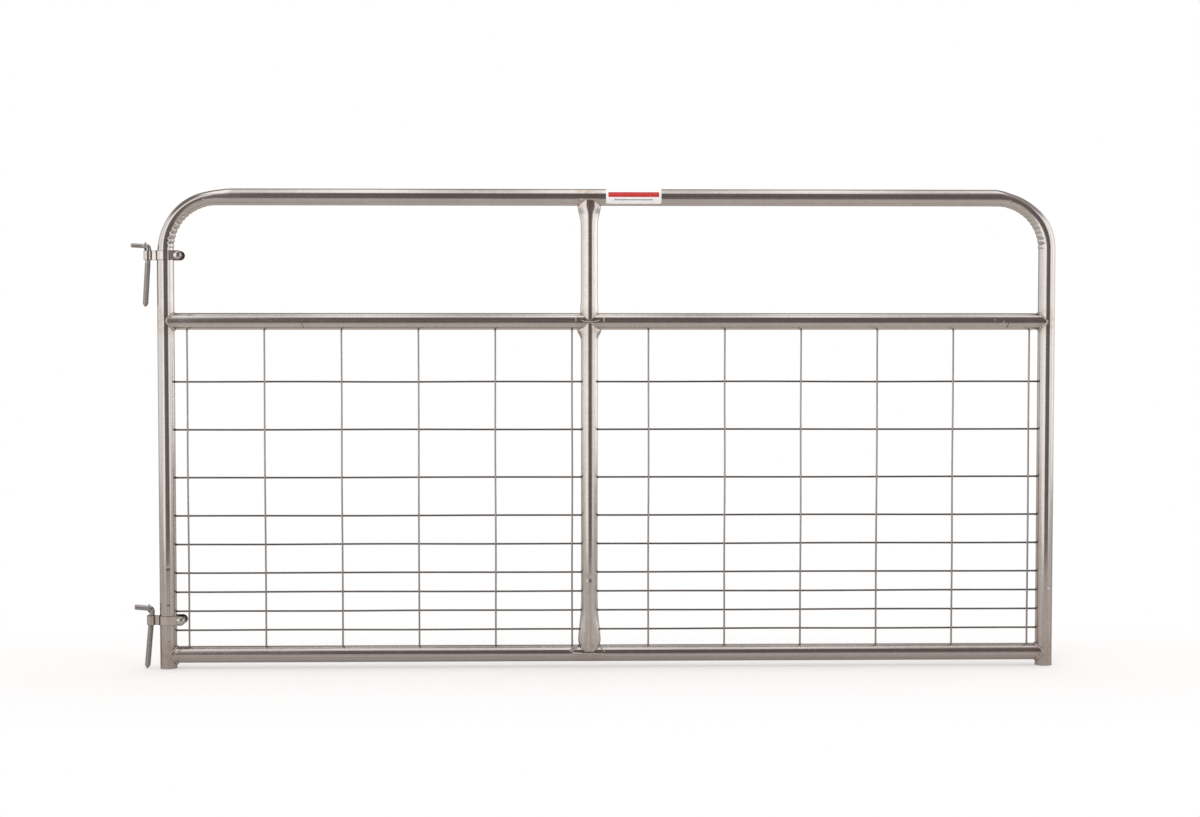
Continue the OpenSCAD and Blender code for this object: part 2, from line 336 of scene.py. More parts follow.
hookLook = dict(
    tubeLook, name="hookZinc", dark=rgb(0.23, 0.214, 0.204), light=rgb(0.31, 0.291, 0.278), speckShare=0.1,
    rough=0.22, roughVary=0.08, mottleScale=90.0, streakCount=1.5, streakStretch=9.0,
    streakHeight=0.02, mottleHeight=0.006)
weldLook = dict(
    tubeLook, name="weldBead", dark=rgb(0.28, 0.255, 0.24), light=rgb(0.58, 0.55, 0.52), heat=0.2,
    rough=0.3, roughVary=0.2, mottleScale=330.0, speckScale=520.0, speckShare=0.6,
    speckColour=rgb(0.74, 0.70, 0.65), streakCount=2.0, streakStretch=40.0,
    streakHeight=0.15, mottleHeight=0.1)
tubeFinish, stayFinish, shadedWireFinish, uprightFinish, strapFinish, boltFinish, hookFinish, weldFinish = map(
    metalFinish, (tubeLook, stayLook, lineWireShadedLook, uprightLook, strapLook, boltLook, hookLook, weldLook))
print("metal finishes made")


# bent outer tube

hoop = SimpleNamespace(
    wall=0.0016, bendRadius=0.135, sides=64, seed=11,
    # rows of the mesh: dented foot, plain post, bend with the stretch it spills into, and top rail
    footRun=0.3, spill=0.045, rows=dict(foot=200, post=90, bend=300, top=100), boreStep=8,
    # scallops inside a bend: how many over which share of it, their height, and how they fade along it
    wrinkles=12, span=0.86, bulge=0.0009, bulgePower=0.7, bulgeFade=(1.2, 0.7),
    innerFrom=-0.3, innerSoft=0.6,
    # folds between the scallops: depth, width, how far round the tube they reach, and how they stray
    foldDepth=dict(hinge=0.0030, latch=0.0020), foldVary=(0.5, 1.2), foldFade=(1.25, 0.75),
    foldWidth=0.0014, foldReach=(-0.5, -0.25), reachFade=0.3, reachSoft=0.25,
    foldShift=0.002, foldSlant=0.004,
    # crease where the scallops end
    crease=0.0008, creaseWidth=0.003, creaseSlant=0.006, creaseFrom=0.05, creaseSoft=0.3,
    # outside of a bend pressed flat, and the shares of the bend between which the flat rises and falls
    flattening=0.0065, flat=dict(hinge=(-0.2, 0.3, 0.85, 1.2), latch=(0.2, 0.65, 0.8, 1.05)),
    # dents: along the tube from the post's foot, share of the turn from the back, depth, size
    dents=[(0.268, 0.535, 0.0006, 0.0032), (0.173, 0.535, 0.0006, 0.0032), (0.076, 0.54, 0.0005, 0.003)],
    latchDents=[
        (0.211, 0.455, 0.0005, 0.0034), (0.117, 0.455, 0.0005, 0.0034), (0.091, 0.53, 0.0003, 0.003),
        (0.067, 0.5, 0.0003, 0.003), (0.066, 0.46, 0.0004, 0.0034)],
)
bendStart = topRailZ - hoop.bendRadius
quarterTurn = hoop.bendRadius * math.pi / 2
topRun = postSpacing - 2 * hoop.bendRadius
hoopLength = 2 * bendStart + 2 * quarterTurn + topRun
folds = np.random.default_rng(hoop.seed)


def hoopLine(along):
    # centreline and outward direction: up the hinge post, round a quarter bend, along the top rail and down
    bend = hoop.bendRadius
    first = np.clip((along - bendStart) / bend, 0, np.pi / 2)
    second = np.clip((along - bendStart - quarterTurn - topRun) / bend, 0, np.pi / 2)
    run = np.clip(along - bendStart - quarterTurn, 0, topRun)
    fall = np.clip(along - (hoopLength - bendStart), 0, None)
    x = bend * (1 - np.cos(first)) + run + bend * np.sin(second)
    z = np.minimum(along, bendStart) + bend * np.sin(first) - bend * (1 - np.cos(second)) - fall
    turned = first + second
    centre = spots(x, 0, z)
    outward = spots(-np.cos(turned), 0, np.sin(turned))
    return centre, outward


def hoopRows():
    # places of the mesh rows along the hoop, closer together where it is dented or bent
    stops = [0, hoop.footRun, bendStart - hoop.spill, bendStart + quarterTurn + hoop.spill]
    stops = stops + [hoopLength - stop for stop in reversed(stops)]
    counts = [hoop.rows[part] for part in ("foot", "post", "bend", "top", "bend", "post", "foot")]
    runs = [np.linspace(low, high, count, endpoint=False)
            for low, high, count in zip(stops, stops[1:], counts)]
    return joined(*runs, [hoopLength])


def hoopGrid():
    # tube wall out along the hoop and back inside it; the inner side of each bend bulges in scallops |sin|
    # between sharp folds that fall off as e^-distance, its outer half is squeezed to a flatter half ellipse,
    # and each dent is a small bell-shaped hollow
    sides = hoop.sides
    along = hoopRows()
    centre, outward = hoopLine(along)
    sine = ring(sides)[1]
    inner = smoothStep((hoop.innerFrom - sine) / hoop.innerSoft)
    flat = np.zeros(len(along))
    radius = np.full((len(along), sides), tubeRadius)
    latchBend = bendStart + 2 * quarterTurn + topRun
    for bend, start, way in (("hinge", bendStart, 1), ("latch", latchBend, -1)):
        share = way * (along - start) / quarterTurn
        rise, full, fade, gone = hoop.flat[bend]
        pressed = smoothStep((share - rise) / (full - rise)) * smoothStep((gone - share) / (gone - fade))
        flat = flat + hoop.flattening * pressed
        wrinkled = np.clip(share, 0, 1) / hoop.span
        most, loss = hoop.bulgeFade
        bulge = np.abs(np.sin(hoop.wrinkles * np.pi * wrinkled)) ** hoop.bulgePower
        bulge = bulge * (most - loss * wrinkled) * (wrinkled < 1)
        radius = radius + (hoop.bulge * bulge)[:, None] * inner
        most, loss = hoop.foldFade
        for fold in range(1, hoop.wrinkles):
            place = fold / hoop.wrinkles
            cut = hoop.foldDepth[bend] * folds.uniform(*hoop.foldVary) * (most - loss * place)
            reach = folds.uniform(*hoop.foldReach) - hoop.reachFade * place
            cut = cut * smoothStep((reach - sine) / hoop.reachSoft)
            shift = folds.uniform(-hoop.foldShift, hoop.foldShift)
            slant = folds.uniform(-hoop.foldSlant, hoop.foldSlant) * (1 + sine)
            middle = start + way * (place * hoop.span * quarterTurn + shift) + slant
            radius = radius - cut * np.exp(-np.abs(along[:, None] - middle) / hoop.foldWidth)
        last = start + way * hoop.span * quarterTurn - way * hoop.creaseSlant * (1 + sine)
        crease = hoop.crease * smoothStep((hoop.creaseFrom - sine) / hoop.creaseSoft)
        radius = radius - crease * np.exp(-np.abs(along[:, None] - last) / hoop.creaseWidth)
    turn = np.arange(sides) / sides
    latchDents = [(hoopLength - fromFoot, *rest) for fromFoot, *rest in hoop.latchDents]
    for fromFoot, share, depth, size in hoop.dents + latchDents:
        gap = (along[:, None] - fromFoot) ** 2 + (2 * np.pi * tubeRadius * (turn - share)) ** 2
        radius = radius - depth * np.exp(-gap / size ** 2)
    squeeze = flat[:, None] / tubeRadius * np.clip(sine, 0, None)
    skin, inside = (carry(centre, back, outward, size, sides) - (squeeze * size)[..., None] * outward[:, None]
                    for size in (radius, tubeRadius - hoop.wall))
    return grid(joined(skin, inside[::-hoop.boreStep]), closedRows=True)


addPiece("bentOuterTube", [hoopGrid()], tubeFinish, ["outer_frame_tube"])
print("bent outer tube made")


# rails and stays

# nose: how far each rail end, hinge side then latch side, stands back from the post's axis at the front
rails = SimpleNamespace(
    wall=0.0016, sides=64, rows=200, nose=dict(mid=(0.005, 0.001), bottom=(0.008, 0.0075)))
stays = SimpleNamespace(
    sides=72, rows=170, growPower=1.6,
    # tuck: share by which the widening draws in again just above the lower rail
    tuck=0.36, tuckRun=0.0075,
)
# grow: extra half width at the rail, run: length of the flare, wing: how far out the widening starts,
# flat: how square the section gets, tongue: how near the rail's axis the front reaches
flares = dict(
    upper=dict(
        top=dict(grow=0.0088, run=0.060, wing=1.6, flat=0.6, flatRun=0.024, tongue=0.006),
        low=dict(grow=0.0025, run=0.05, wing=4.0, flat=0.0, flatRun=0.02, tongue=0.0015),
        dents=[]),
    lower=dict(
        top=dict(grow=0.0100, run=0.034, wing=5.0, flat=0.0, flatRun=0.02, tongue=0.004),
        low=dict(grow=0.0086, run=0.138, wing=1.6, flat=1.3, flatRun=0.1, tongue=0.007),
        # dents on the front: height, depth, half width, half height
        dents=[(0.2385, 0.0006, 0.011, 0.0022)]),
)
bore = tubeRadius - rails.wall


def railSkin(railZ, radius, noses):
    # level tube whose ends follow the rounded saddle x = sqrt(R^2 - y^2 + nose^2) round the posts
    cosine, sine = ring(rails.sides)
    share = np.linspace(0, 1, rails.rows)[:, None]
    y, z = radius * cosine, railZ + radius * sine
    near, far = (np.sqrt(np.clip(tubeRadius ** 2 - y ** 2, 0, None) + nose ** 2) for nose in noses)
    x = near + (postSpacing - far - near) * share
    return spots(x, y, z)


def staySkin(lowZ, highZ, flare, radius):
    # upright tube with saddled ends; towards a rail its sides draw out by grow |sin|^wing into two wings,
    # and its round section squares up as a superellipse
    cosine, sine = ring(stays.sides)
    saddle = np.clip(tubeRadius ** 2 - (radius * cosine) ** 2, 0, None)
    topStand, lowStand = (np.sqrt(np.maximum(saddle, flare[end]["tongue"] ** 2)) for end in ("top", "low"))
    bottom, top = lowZ + lowStand, highZ - topStand
    z = bottom + (top - bottom) * eased(stays.rows)[:, None]
    spread, square = 0, 0
    for end, gap in (("top", highZ - tubeRadius - z), ("low", z - lowZ - tubeRadius)):
        shape = flare[end]
        near = 1 - smoothStep(gap / shape["run"])
        spread = spread + shape["grow"] * near ** stays.growPower * np.abs(sine) ** shape["wing"]
        square = square + shape["flat"] * (1 - smoothStep(gap / shape["flatRun"]))
    spread = spread * (1 - stays.tuck * np.exp(-((z - bottom) / stays.tuckRun) ** 2))
    power = 2 / (2 + square)
    x = -np.sign(sine) * np.abs(sine) ** power * (radius + spread)
    y = radius * np.sign(cosine) * np.abs(cosine) ** power
    for dentZ, depth, wide, tall in flare["dents"]:
        y = y + depth * np.exp(-((z - dentZ) / tall) ** 2 - (x / wide) ** 2) * (cosine < 0)
    return spots(stayX + x, y, z)


def shell(outer, inner):
    # tube wall: out along the outer skin and back along the inner one
    return grid(joined(outer, inner[::-1]), closedRows=True)


railSkins = {}
for place, railZ in (("mid", midRailZ), ("bottom", bottomRailZ)):
    noses = rails.nose[place]
    railSkins[place], inner = (railSkin(railZ, radius, noses) for radius in (tubeRadius, bore))
    wall = shell(railSkins[place], inner)
    addPiece(place + "RailTube", [wall], tubeFinish, [place + "_rail"])
staySkins = {}
for place, lowZ, highZ in (("upper", midRailZ, topRailZ), ("lower", bottomRailZ, midRailZ)):
    staySkins[place], inner = (staySkin(lowZ, highZ, flares[place], radius) for radius in (tubeRadius, bore))
    wall = shell(staySkins[place], inner)
    addPiece(place + "StayTube", [wall], stayFinish, [place + "_stay"])
print("rails and stays made")


# weld beads

welds = SimpleNamespace(
    # kinds of bead: radius, and pitch of its swells
    kinds=dict(
        rail=(0.0036, 0.0075), stayTop=(0.0013, 0.006), stayMid=(0.0015, 0.0065), stayFoot=(0.0014, 0.009),
        run=(0.0019, 0.005), lump=(0.0036, 0.008), spatter=(0.0012, 0.006), mark=(0.0010, 0.004)),
    seed=3, sides=14, sharp=80, step=0.0009, fewestRows=12, smoothing=4,
    # a bead's radius is body + swell once a pitch + wander; waves are the beats of the wander in a bead
    body=0.66, swell=0.26, wander=0.13, waves=(3, 5, 8, 13), swellShift=0.6,
    drift=0.2, endPower=6, runRows=60, proud=0.0002,
    # short runs on the front of a rail: rail height, kind, then points in millimetres as
    # (from the stay's axis, above the rail's axis)
    runs=[
        (topRailZ, "run", [(-35, -7), (-18, -6.2), (2, -6.6), (20, -5.8), (34.5, -7.2)]),
        (midRailZ, "run", [(-23, 3.5), (-14, 0.2), (2, -1.4), (18, 0.1), (27, 3.5)]),
        (midRailZ, "run", [(-36, -2), (-35.2, 4), (-36.2, 10.5)]),
        (midRailZ, "run", [(37.8, -3), (39.2, 3), (37.2, 8.5), (39.6, 11)]),
        (midRailZ, "spatter", [(1102, 3), (1098.5, -6), (1096, -14)]),
        (midRailZ, "spatter", [(1074, 5), (1078, 3.5), (1077, 0)]),
        (midRailZ, "spatter", [(-1078, 1), (-1074.5, 1)]),
        (midRailZ, "spatter", [(-758, 3), (-755, 2)]),
        (bottomRailZ, "lump", [(-50, 2), (-36, 3), (-18, 0.5), (4, 1), (22, 0), (38, 2)]),
        (bottomRailZ, "lump", [(-47, 6), (-41, 12), (-33, 17.5)]),
        (bottomRailZ, "lump", [(-52, 5), (-47, 13.5), (-40, 18.5)]),
        (bottomRailZ, "run", [(30, 17), (36, 10.5), (42, 6)]),
        (bottomRailZ, "run", [(-1078, 16.5), (-1086, 14), (-1089.6, 8), (-1101, 3)]),
    ],
    # dark slag left across the rail's lower half
    marks=[
        (midRailZ, "mark", [(1115, -1), (1112.5, -8), (1109, -18.5)]),
        (midRailZ, "mark", [(-758.5, -4), (-756, -10), (-753, -18.5)]),
    ],
)
luck = np.random.default_rng(welds.seed)


def beadGrid(edge, kind, closed=True):
    # round bead carried along a seam: radius and place wander as sums of sines and the radius swells once a
    # pitch; an open bead is rounded off at both ends
    size, pitch = welds.kinds[kind]
    loop = joined(edge, edge[:1]) if closed else edge
    run = joined([0], np.cumsum(np.linalg.norm(np.diff(loop, axis=0), axis=1)))
    count = max(int(run[-1] / welds.step), welds.fewestRows)
    along = np.linspace(0, run[-1], count, endpoint=not closed)
    path = np.stack([np.interp(along, run, loop[:, axis]) for axis in range(3)], -1)
    share = along / run[-1] * 2 * np.pi
    beats = max(round(run[-1] / pitch), 1)
    wander = [sum(np.sin(wave * share + luck.uniform(0, phaseSpan)) / wave ** 0.5 for wave in welds.waves)
              for use in ("radius", "first", "second")]
    swell = np.abs(np.sin(beats * share / 2 + welds.swellShift * wander[0]))
    radius = size * (welds.body + welds.swell * swell + welds.wander * wander[0])
    if closed:
        near = welds.smoothing
        path = sum(np.roll(path, shift, axis=0) for shift in range(-near, near + 1)) / (2 * near + 1)
        lap = ((2, 2), (0, 0))
        around, aside = (np.pad(rows, lap, mode="wrap") for rows in (path, path - path.mean(0)))
        first, second = (way[2:-2] for way in pathFrame(around, aside))
    else:
        first, second = pathFrame(path, -back)
        fromMiddle = np.abs(np.linspace(-1, 1, count))
        radius = radius * np.sqrt(np.clip(1 - fromMiddle ** welds.endPower, 0, 1))
    drift = first * wander[1][:, None] + second * wander[2][:, None]
    path = path + size * welds.drift * drift
    return grid(carry(path, first, second, radius[:, None], welds.sides), closedRows=closed)


def runGrid(railZ, kind, points):
    # open bead on the front of a rail, through points given across and up
    across, up = np.array(points).T * millimetre
    place = np.linspace(0, len(points) - 1, welds.runRows)
    x, rise = (np.interp(place, np.arange(len(points)), values) for values in (across, up))
    y = -np.sqrt(tubeRadius ** 2 - rise ** 2) - welds.proud
    return beadGrid(spots(stayX + x, y, railZ + rise), kind, closed=False)


railBeads = [beadGrid(skin[row], "rail") for skin in railSkins.values() for row in (0, -1)]
stayBeads = [beadGrid(staySkins[place][row], kind) for place, row, kind in (
    ("upper", -1, "stayTop"), ("upper", 0, "stayMid"), ("lower", -1, "stayMid"), ("lower", 0, "stayFoot"))]
runBeads = [runGrid(*run) for run in welds.runs]
slagBeads = [runGrid(*run) for run in welds.marks]
addPiece("railWelds", railBeads, weldFinish, sharp=welds.sharp)
addPiece("stayWelds", stayBeads + runBeads, weldFinish, sharp=welds.sharp)
addPiece("railSlag", slagBeads, shadedWireFinish, sharp=welds.sharp)
print("weld beads made")


# wire mesh

wires = SimpleNamespace(
    sides=14, rows=90, seed=7, sway=0.0006, swayBeats=(1.5, 3.5),
    flare=0.3, flareRun=0.0022, sink=0.0007,
    nugget=0.0034, nuggetRows=7, nuggetSides=10, nuggetFlat=0.9, nuggetLeast=0.9, nuggetVary=0.25,
)
chance = np.random.default_rng(wires.seed)


def wireGrid(node):
    # drawn wire between two welds: a slow sway along it, and a fillet radius (1 + flare e^-d/run) at each end
    low, high = (np.array(corner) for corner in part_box(node))
    axis = int(np.argmax(high - low))
    other = 2 - axis
    radius = (high[1] - low[1]) / 2
    length = high[axis] - low[axis]
    spread = eased(wires.rows)
    along = -wires.sink + (length + 2 * wires.sink) * spread
    path = np.tile((low + high) / 2, (wires.rows, 1))
    path[:, axis] = low[axis] + along
    beats, phase = chance.uniform(*wires.swayBeats), chance.uniform(0, phaseSpan)
    path[:, other] += wires.sway * np.sin(np.pi * spread) * np.sin(beats * np.pi * spread + phase)
    distance = np.minimum(along, length - along)
    thick = radius * (1 + wires.flare * np.exp(-np.clip(distance, 0, None) / wires.flareRun))
    thick[[0, -1]] = 0
    return grid(carry(path, back, np.eye(3)[[other]], thick[:, None], wires.sides))


def nuggetGrids(lineNodes, uprightNodes):
    # flattened ball at each crossing, where the weld has squeezed one wire into the other
    tilt = np.linspace(0, np.pi, wires.nuggetRows)[:, None]
    cosine, sine = ring(wires.nuggetSides)
    depth = wires.nuggetFlat * np.cos(tilt)
    ball = spots(np.sin(tilt) * cosine, depth, np.sin(tilt) * sine) * wires.nugget
    return [grid(ball * (wires.nuggetLeast + wires.nuggetVary * chance.random())
                 + [centreOf[upright].x, 0, centreOf[line].z])
            for line in lineNodes for upright in uprightNodes]


for bay in ("hinge", "latch"):
    lines, uprights = ([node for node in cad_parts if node.startswith(bay + kind)]
                       for kind in ("_line", "_upright"))
    lineGrids = [wireGrid(node) for node in lines]
    uprightGrids = [wireGrid(node) for node in uprights]
    addPiece(bay + "LineWires", lineGrids, shadedWireFinish, lines)
    addPiece(bay + "UprightWires", uprightGrids, uprightFinish, uprights)
    addPiece(bay + "MeshWelds", nuggetGrids(lines, uprights), shadedWireFinish)
print("wire mesh made")


# hinge straps, bolts and nuts

strap = SimpleNamespace(
    thickness=0.0025, width=0.0254, eyeBore=0.0179, earAngle=31.6,
    neckGap=0.00006, neckSpread=0.0014,
    # mesh: spacing of the rows, points over which folds are rounded, rows of the round tip and their start
    step=0.0005, fillet=5, tipRows=20, tipStart=0.02,
    # section: corner radius, points on it, and where the flat face begins, in corner radii from the edge
    corner=0.0007, cornerSteps=5, flatFrom=1.6,
)
bolt = SimpleNamespace(
    shank=0.009525, head=0.021, headHeight=0.0055, rim=0.0009, domeRows=18, domePower=0.9,
    lipHeight=0.0002, lip=0.0003, chamfer=0.0008, sides=40, sharp=35,
    pitch=0.0016, depth=0.0008, rowsPerTurn=12, threadFrom=0.004, threadFade=0.004, endGap=0.0002,
)
nut = SimpleNamespace(
    flats=0.0143, thickness=0.0083, bore=0.0097, sides=72, rows=16, sharp=25,
    # cone that turns the corners off: share of the flats at the face, and slope
    coneShare=0.97, coneSlope=1.75,
)
strapLow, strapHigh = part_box("upper_strap")
bandOuter = strapHigh.y
earFront = bandOuter * math.cos(math.radians(strap.earAngle))
boltX = strapHigh.x - strap.width / 2
eyeOuter = strap.eyeBore / 2 + strap.thickness
eyeX = strapLow.x + eyeOuter


def arc(centre, radius, fromDegrees, toDegrees):
    # points of a circle in the x-y plane
    count = int(abs(math.radians(toDegrees - fromDegrees)) * radius / strap.step) + 2
    turn = np.radians(np.linspace(fromDegrees, toDegrees, count))
    return spots(centre + radius * np.cos(turn), radius * np.sin(turn))


def straight(fromPoint, toPoint):
    # evenly spaced points of a line
    count = int(math.dist(fromPoint, toPoint) / strap.step) + 2
    return np.linspace(fromPoint, toPoint, count)


def strapLine():
    # middle of the folded strip in plan: ear, band round the post, neck, eye, and the same mirrored back
    half = strap.thickness / 2
    band, eye, ear = bandOuter - half, eyeOuter - half, earFront - half
    neck = half + strap.neckGap
    earRun = math.sqrt(band ** 2 - ear ** 2)
    tipRows = strap.tipRows
    tip = boltX + strap.width / 2 * np.cos(np.linspace(strap.tipStart, np.pi / 2, tipRows))
    root = neck + strap.neckSpread
    neckStart, neckEnd = -math.sqrt(band ** 2 - root ** 2), eyeX + math.sqrt(eye ** 2 - neck ** 2)
    front = joined(
        spots(tip, -ear),
        straight((boltX, -ear), (earRun, -ear))[1:-1],
        arc(0, band, -math.degrees(math.atan2(ear, earRun)), -180 + math.degrees(math.asin(root / band))),
        straight((neckStart, -root), (neckEnd, -neck))[1:-1],
        arc(eyeX, eye, -math.degrees(math.asin(neck / eye)), -180))
    line = joined(front, front[-2::-1] * [1, -1])
    kernel = np.ones(strap.fillet) / strap.fillet
    spare = strap.fillet // 2
    padded = np.pad(line, ((spare, spare), (0, 0)), mode="edge")
    rounded = np.stack([np.convolve(padded[:, axis], kernel, mode="valid") for axis in (0, 1)], -1)
    rounded[:tipRows], rounded[-tipRows:] = line[:tipRows], line[-tipRows:]
    return rounded


def roundedSection(halfWidth, halfDepth, corner):
    # closed outline of a rectangle with rounded corners, as share of its half sizes; the wide faces get a
    # second pair of points beside each corner so that they stay flat
    steps = strap.cornerSteps
    turn = np.linspace(0, np.pi / 2, steps)
    starts = (0, np.pi / 2, np.pi, 1.5 * np.pi)
    across, depth = (
        joined(*[side * (half - corner) + corner * wave(turn + start) for side, start in zip(signs, starts)])
        for half, wave, signs in ((halfWidth, np.cos, (1, -1, -1, 1)), (halfDepth, np.sin, (1, 1, -1, -1))))
    flat = halfWidth - strap.flatFrom * corner
    places = [steps, steps, 3 * steps, 3 * steps]
    across = np.insert(across, places, [flat, -flat, -flat, flat])
    depth = np.insert(depth, places, [halfDepth, halfDepth, -halfDepth, -halfDepth])
    return across / halfWidth, depth / halfDepth


def strapGrid(node):
    # flat strip carried along the folded line; its half width follows the circle round the bolt at each end
    line = strapLine()
    along = unit(np.gradient(line, axis=0))
    halfWidth = strap.width / 2
    reach = np.clip(line[:, 0] - boltX, 0, halfWidth)
    width = np.sqrt(halfWidth ** 2 - reach ** 2)
    across, depth = roundedSection(halfWidth, strap.thickness / 2, strap.corner)
    x = line[:, :1] - along[:, 1:] * depth * strap.thickness / 2
    y = line[:, 1:] + along[:, :1] * depth * strap.thickness / 2
    z = centreOf[node].z + width[:, None] * across
    points = spots(x, y, z)
    ends = [points[[row]].mean(1, keepdims=True).repeat(points.shape[1], 1) for row in (0, -1)]
    return grid(joined(ends[0], points, ends[1]))


def turned(radius, y, sides, centreZ):
    # radius and y of an outline, turned round the bolt's axis
    cosine, sine = ring(sides)
    return spots(boltX + radius * cosine, y, centreZ + radius * sine)


def threadWave(along, pitch, sides):
    # height, from 0 to 1, of a ridge that climbs one pitch a turn
    turn = np.arange(sides) / sides
    return np.abs(2 * ((along / pitch - turn) % 1) - 1)


def boltGrid(node):
    # domed head over a thin rim, plain shank, then a thread cut as a ridge that climbs one pitch a turn
    low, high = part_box(node)
    head, shank = bolt.head / 2, bolt.shank / 2
    tilt = np.linspace(0, 1, bolt.domeRows) * np.pi / 2
    domeRadius = head * np.sin(tilt) ** bolt.domePower
    domeY = low.y + (bolt.headHeight - bolt.rim) * (1 - np.cos(tilt))
    under = np.array([
        [head, -earFront - bolt.lipHeight], [head - bolt.lip, -earFront],
        [shank, -earFront], [shank, 0.0]])
    rows = np.linspace(0, high.y - bolt.chamfer, int(high.y / bolt.pitch * bolt.rowsPerTurn))
    end = np.array([[shank - bolt.chamfer, high.y], [0, high.y]])
    radius = joined(domeRadius, under[:, 0], np.full_like(rows, shank), end[:, 0])[:, None]
    y = joined(domeY, under[:, 1], rows, end[:, 1])[:, None]
    ridge = threadWave(y, bolt.pitch, bolt.sides)
    threaded = smoothStep((y - bolt.threadFrom) / bolt.threadFade) * (y < high.y - bolt.endGap)
    return grid(turned(radius - bolt.depth * ridge * threaded, y, bolt.sides, centreOf[node].z))


def nutGrid(node):
    # hexagon radius flats / cos(angle) with its corners turned off by a cone at both faces, and a round bore
    halfFlats = nut.flats / 2
    turn = np.linspace(0, 2 * np.pi, nut.sides, endpoint=False)
    hexagon = halfFlats / np.cos(turn % (np.pi / 3) - np.pi / 6)
    depth = np.linspace(0, nut.thickness, nut.rows)[:, None]
    edge = np.minimum(depth, nut.thickness - depth)
    outer = np.minimum(hexagon, halfFlats * nut.coneShare + edge * nut.coneSlope)
    hole = np.full((1, nut.sides), nut.bore / 2)
    radius = joined(hole, outer, hole)
    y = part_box(node)[0].y + joined(depth[:1], depth, depth[-1:])
    return grid(turned(radius, y, nut.sides, centreOf[node].z), closedRows=True)


for end in ("upper", "lower"):
    strapNode, boltNode, nutNode = (end + kind for kind in ("_strap", "_bolt", "_nut"))
    addPiece(end + "StrapFold", [strapGrid(strapNode)], strapFinish, [strapNode])
    addPiece(end + "DomeBolt", [boltGrid(boltNode)], boltFinish, [boltNode], bolt.sharp)
    addPiece(end + "HexNut", [nutGrid(nutNode)], boltFinish, [nutNode], nut.sharp)
print("straps, bolts and nuts made")


# screw hooks

hook = SimpleNamespace(
    bar=0.0143, armBar=dict(upper=0.0114, lower=0.0138),
    length=0.159, arm=0.0465, bend=0.00765, offset=0.0015,
    thread=0.116, crest=0.0154, depth=0.0008, pitch=0.0042, ridgeSlope=1.5, ridgeCut=0.25,
    runIn=0.003, point=0.008, tip=0.004,
    # rounded end of the arm: distance from the end, share of the radius
    armEnd=[(0, 0), (0.0003, 0.82), (0.0012, 0.95), (0.003, 1)], armFrom=0.004,
    armRows=30, bendRows=20, rowsPerTurn=16, sides=36,
    earStart=-0.00665, earThickness=0.0045, earReach=0.011, earHalfWidth=0.0075,
    earRows=25, earFaceRows=17, earEdgePower=8, earEdgeRound=0.4,
    lean=dict(upper=3.6, lower=5.2), lift=dict(upper=0.010882, lower=0.01802),
)


def hookBar(end):
    # bar carried along arm, bend and shank, where its radius rises into a helical thread and falls to a point
    bend, length = hook.bend, hook.length
    endPlace, endShare = np.array(hook.armEnd).T
    arm = joined(endPlace, np.linspace(hook.armFrom, hook.arm - bend, hook.armRows))
    quarter = np.linspace(0, np.pi / 2, hook.bendRows)[1:-1]
    shank = np.linspace(bend, length, int((length - bend) / hook.pitch * hook.rowsPerTurn))
    x = joined(arm - hook.arm, -bend + bend * np.sin(quarter), 0 * shank)
    z = joined(0 * arm, -bend + bend * np.cos(quarter), -shank)
    path = spots(x, 0, z)
    first, second = pathFrame(path, back)
    armBar = hook.armBar[end]
    bar = (armBar + (hook.bar - armBar) * smoothStep(1 + x / (2 * bend)))[:, None] / 2
    depth = -z[:, None]
    start = length - hook.thread
    ridge = threadWave(depth, hook.pitch, hook.sides)
    ridge = smoothStep(hook.ridgeSlope * ridge - hook.ridgeCut)
    crest, tip = hook.crest / 2, hook.tip / 2
    thread = crest - hook.depth * (1 - ridge)
    radius = bar + (thread - bar) * smoothStep((depth - start) / hook.runIn)
    cone = tip + (crest - tip) * (length - depth) / hook.point
    radius = np.minimum(radius, np.where(depth > start, cone, np.inf))
    radius[:len(endShare)] = bar[:len(endShare)] * endShare[:, None]
    path, first, second = (joined(rows, rows[-1:]) for rows in (path, first, second))
    return carry(path, first, second, joined(radius, 0 * radius[-1:]), hook.sides)


def hookEars():
    # pinched ears: a lens above and below the bar, thinned to a rounded edge on both faces
    reach, half = hook.earReach, hook.earHalfWidth
    lensRadius = (half ** 2 + reach ** 2) / (2 * half)
    height = reach * np.sin(np.linspace(-np.pi / 2, np.pi / 2, hook.earRows))
    bulge = np.sqrt(lensRadius ** 2 - height ** 2) - (lensRadius - half)
    outline = joined(spots(bulge, height), spots(-bulge, height)[-2:0:-1])
    face = np.sin(np.linspace(-np.pi / 2, np.pi / 2, hook.earFaceRows))[:, None]
    size = np.clip(1 - face ** hook.earEdgePower, 0, 1) ** hook.earEdgeRound
    y, z = outline.T
    x = hook.earStart - hook.earThickness * (0.5 + 0.5 * face)
    return spots(x, size * y, size * z)


def hungGrid(points, end):
    # hook points lifted, leaned towards the gate and set in the eye
    lean = math.radians(hook.lean[end])
    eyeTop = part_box(end + "_strap")[1].z
    x, y, z = points[..., 0], points[..., 1], points[..., 2] + hook.lift[end]
    return grid(spots(
        eyeX + hook.offset + x * math.cos(lean) + z * math.sin(lean), y,
        eyeTop - x * math.sin(lean) + z * math.cos(lean)))


for end in ("upper", "lower"):
    hookGrids = [hungGrid(points, end) for points in (hookBar(end), hookEars())]
    addPiece(end + "ScrewHook", hookGrids, hookFinish, [end + "_hook"], body=end + "_hook_body")
print("screw hooks made")


# sticker on the top rail

